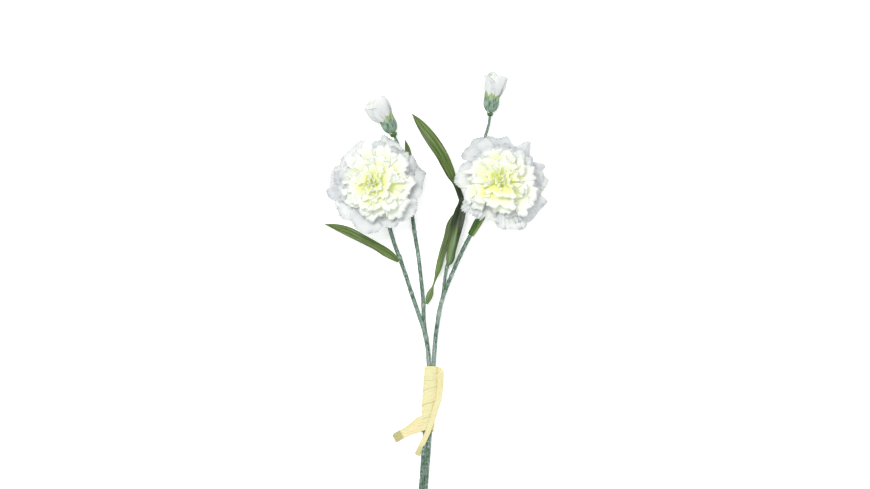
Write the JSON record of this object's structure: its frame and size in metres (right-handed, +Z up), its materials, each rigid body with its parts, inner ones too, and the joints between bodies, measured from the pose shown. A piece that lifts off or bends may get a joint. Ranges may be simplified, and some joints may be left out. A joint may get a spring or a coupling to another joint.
{
  "type": "cut carnation",
  "caption": "Two cut carnation sprays laid flat, tied side by side with a raffia ribbon; each has a ruffled white bloom, a bud, narrow leaves and a calyx.",
  "frame": {"origin": "centre of the bunch's footprint on the table it lies on", "axes": "+Y along the bunch from the cut stem ends to the buds, +Z up from the table, +X towards the right-hand spray seen from above with the buds ahead"},
  "size_m": [0.176, 0.408, 0.0495],
  "materials": {
    "stem_green": "matt, wrapped in blue-green tape",
    "calyx_green": "matt grey-green",
    "bract_green": "matt yellow-green",
    "leaf_green": "satin green",
    "petal_white": "matt white, thin and slightly translucent",
    "petal_cream": "matt lime cream, thin and slightly translucent",
    "raffia": "satin pale yellow raffia ribbon"
  },
  "bodies": {
    "root": {"left_bloom_bracts": "bract_green", "left_bloom_calyx": "calyx_green", "left_bloom_guard_petal_1": "petal_white", "left_bloom_guard_petal_2": "petal_white", "left_bloom_guard_petal_3": "petal_white", "left_bloom_guard_petal_4": "petal_white", "left_bloom_guard_petal_5": "petal_white", "left_bloom_guard_petal_6": "petal_white", "left_bloom_heart": "petal_cream", "left_bloom_inner_ruffle": "petal_cream", "left_bloom_middle_ruffle": "petal_white", "left_bloom_outer_ruffle": "petal_white", "left_bloom_second_ruffle": "petal_white", "left_bud_bracts": "bract_green", "left_bud_calyx": "calyx_green", "left_bud_inner_petals": "petal_white", "left_bud_outer_petals": "petal_white", "left_hidden_leaf": "leaf_green", "left_inner_leaf": "leaf_green", "left_outer_leaf": "leaf_green", "left_spray_stem": "stem_green", "raffia_tie": "raffia", "right_bloom_bracts": "bract_green", "right_bloom_calyx": "calyx_green", "right_bloom_guard_petal_1": "petal_white", "right_bloom_guard_petal_2": "petal_white", "right_bloom_guard_petal_3": "petal_white", "right_bloom_guard_petal_4": "petal_white", "right_bloom_guard_petal_5": "petal_white", "right_bloom_guard_petal_6": "petal_white", "right_bloom_heart": "petal_cream", "right_bloom_inner_ruffle": "petal_cream", "right_bloom_middle_ruffle": "petal_white", "right_bloom_outer_ruffle": "petal_white", "right_bloom_second_ruffle": "petal_white", "right_bud_bracts": "bract_green", "right_bud_calyx": "calyx_green", "right_bud_inner_petals": "petal_white", "right_bud_outer_petals": "petal_white", "right_lower_leaf": "leaf_green", "right_spray_stem": "stem_green", "right_upper_leaf": "leaf_green"}
  },
  "joints": []
}
